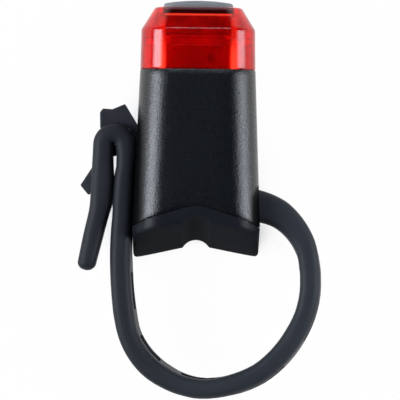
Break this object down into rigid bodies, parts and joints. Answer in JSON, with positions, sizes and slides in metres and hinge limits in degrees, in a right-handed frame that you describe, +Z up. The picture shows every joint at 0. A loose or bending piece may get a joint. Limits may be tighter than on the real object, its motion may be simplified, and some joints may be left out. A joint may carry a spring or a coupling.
{
  "type": "bicycle rear light",
  "caption": "Tapered bicycle rear light with a chamfered red lens, push button, vee saddle pad and a rubber ladder strap that hooks round a seatpost.",
  "frame": {"origin": "where the two flanks of the saddle vee would meet, at the middle of the height of the light", "axes": "+Y rearward, out through the lens; +Z up on the bicycle; +X to the side of the strap anchor"},
  "size_m": [0.0546, 0.0881, 0.026],
  "materials": {
    "grained_black_plastic": "fine moulded grain",
    "clear_red_plastic": "clear, tinted, polished",
    "black_rubber": "matte",
    "grey_rubber": "satin",
    "inner_black_plastic": "matte",
    "white_plastic": "satin",
    "circuit_board": "solder mask",
    "led_resin": "cast resin",
    "bright_steel": "plated",
    "cell_wrap": "shrink wrap",
    "grey_foam": "open-cell foam",
    "red_wire": "wire sleeve",
    "black_wire": "wire sleeve",
    "pad_rubber": "matte",
    "strap_rubber": "matte",
    "smooth_black_plastic": "smooth moulded"
  },
  "bodies": {
    "light": {"housing": "grained_black_plastic", "lens": "clear_red_plastic", "lens_gasket": "black_rubber", "button_seal": "black_rubber", "button_carrier": "white_plastic", "reflector": "white_plastic", "led_board": "circuit_board", "leds": "led_resin", "switch_body": "inner_black_plastic", "board_chips": "inner_black_plastic", "board_screws": "bright_steel", "usb_socket": "bright_steel", "usb_tongue": "inner_black_plastic", "battery_cell": "cell_wrap", "battery_foam": "grey_foam", "battery_tray": "white_plastic", "lead_positive": "red_wire", "lead_negative": "black_wire", "battery_plug": "white_plastic", "saddle_pad": "pad_rubber", "strap_anchor_side": "strap_rubber", "strap_pin": "bright_steel", "strap_hook": "smooth_black_plastic", "hook_screws": "bright_steel"},
    "button": {"button_cap": "grey_rubber"},
    "plunger": {"switch_plunger": "white_plastic"},
    "flap": {"usb_flap": "black_rubber"},
    "strap": {"strap_hook_side": "strap_rubber"}
  },
  "joints": [
    {"name": "button_press", "type": "slide", "parent": "light", "child": "button", "axis": [0, -1, 0], "range_m": [0, 0.0006], "stiffness_N_per_m": 400},
    {"name": "switch_press", "type": "slide", "parent": "light", "child": "plunger", "axis": [0, -1, 0], "range_m": [0, 0.0006]},
    {"name": "usb_flap_hinge", "type": "hinge", "parent": "light", "child": "flap", "pos_m": [0, 0.02517, -0.01128], "axis": [-1, 0, 0], "range_deg": [0, 95], "stiffness_Nm_per_rad": 0.0004},
    {"name": "strap_release", "type": "hinge", "parent": "light", "child": "strap", "pos_m": [0.02046, -0.02544, 0], "axis": [0, 0, 1], "range_deg": [0, 45]}
  ],
  "couplings": [
    {"joint": "switch_press", "follows": "button_press", "ratio": 1}
  ]
}
